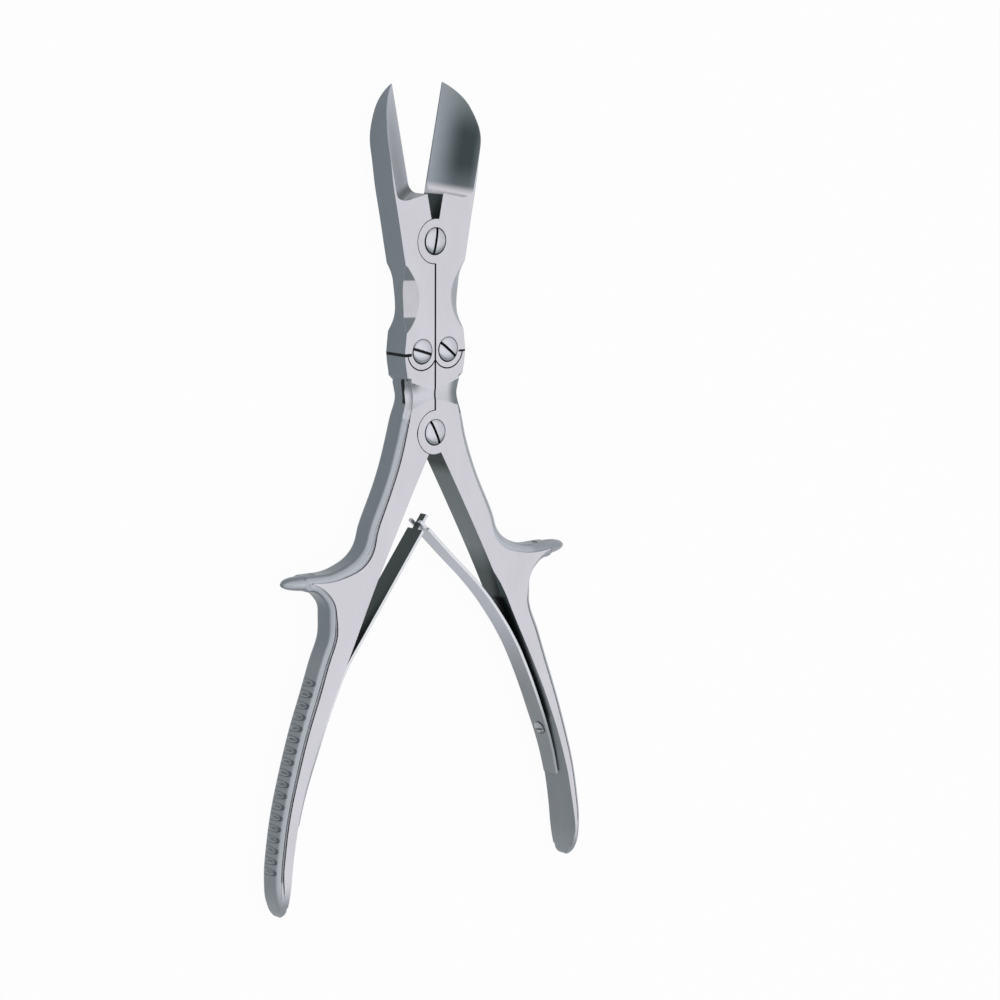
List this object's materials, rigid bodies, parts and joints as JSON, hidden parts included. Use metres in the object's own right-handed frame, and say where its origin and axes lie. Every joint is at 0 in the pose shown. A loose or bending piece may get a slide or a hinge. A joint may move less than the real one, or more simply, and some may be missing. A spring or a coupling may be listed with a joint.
{
  "type": "bone rongeur",
  "caption": "Double-action surgical bone-cutting forceps with straight chisel-like blades, compound lever joints, crossing leaf springs and horned grips.",
  "frame": {"origin": "on the handle pivot's axis, in the plane of the flat back face", "axes": "+X to the right handle, +Y along the instrument toward the blade tips, +Z out of the front face that shows the screw heads"},
  "size_m": [0.131, 0.2623, 0.0102],
  "materials": {
    "satin_steel": "satin ground stainless steel",
    "screw_steel": "polished stainless steel",
    "spring_steel": "polished spring steel"
  },
  "bodies": {
    "left_handle": {"left_handle": "satin_steel", "handle_pivot_screw": "screw_steel", "left_link_screw": "screw_steel", "left_spring_screw": "screw_steel"},
    "right_handle": {"right_handle": "satin_steel", "right_link_screw": "screw_steel", "right_spring_screw": "screw_steel"},
    "left_jaw": {"left_jaw": "satin_steel", "jaw_pivot_screw": "screw_steel"},
    "right_jaw": {"right_jaw": "satin_steel"},
    "left_spring": {"left_spring": "spring_steel"},
    "right_spring": {"right_spring": "spring_steel"}
  },
  "joints": [
    {"name": "handle_pivot", "type": "hinge", "parent": "left_handle", "child": "right_handle", "pos_m": [0, 0, 0], "axis": [0, 0, 1], "range_deg": [-31.8, 0], "stiffness_Nm_per_rad": 1.5, "springref_deg": 20.05},
    {"name": "left_link", "type": "hinge", "parent": "left_handle", "child": "left_jaw", "pos_m": [-0.0053, 0.0265, 0], "axis": [0, 0, 1], "range_deg": [-27.75, 0]},
    {"name": "right_link", "type": "hinge", "parent": "right_handle", "child": "right_jaw", "pos_m": [0.0053, 0.0265, 0], "axis": [0, 0, 1], "range_deg": [0, 27.75]},
    {"name": "left_spring_flex", "type": "hinge", "parent": "left_handle", "child": "left_spring", "pos_m": [-0.05105, -0.105, 0.00485], "axis": [0, 0, 1], "range_deg": [0, 5.8]},
    {"name": "right_spring_flex", "type": "hinge", "parent": "right_handle", "child": "right_spring", "pos_m": [0.05105, -0.105, 0.00485], "axis": [0, 0, 1], "range_deg": [-5.8, 0]}
  ],
  "couplings": [
    {"joint": "left_link", "follows": "handle_pivot", "ratio": 0.8695},
    {"joint": "right_link", "follows": "handle_pivot", "ratio": -0.8695},
    {"joint": "left_spring_flex", "follows": "handle_pivot", "ratio": -0.17925},
    {"joint": "right_spring_flex", "follows": "handle_pivot", "ratio": 0.17925}
  ]
}
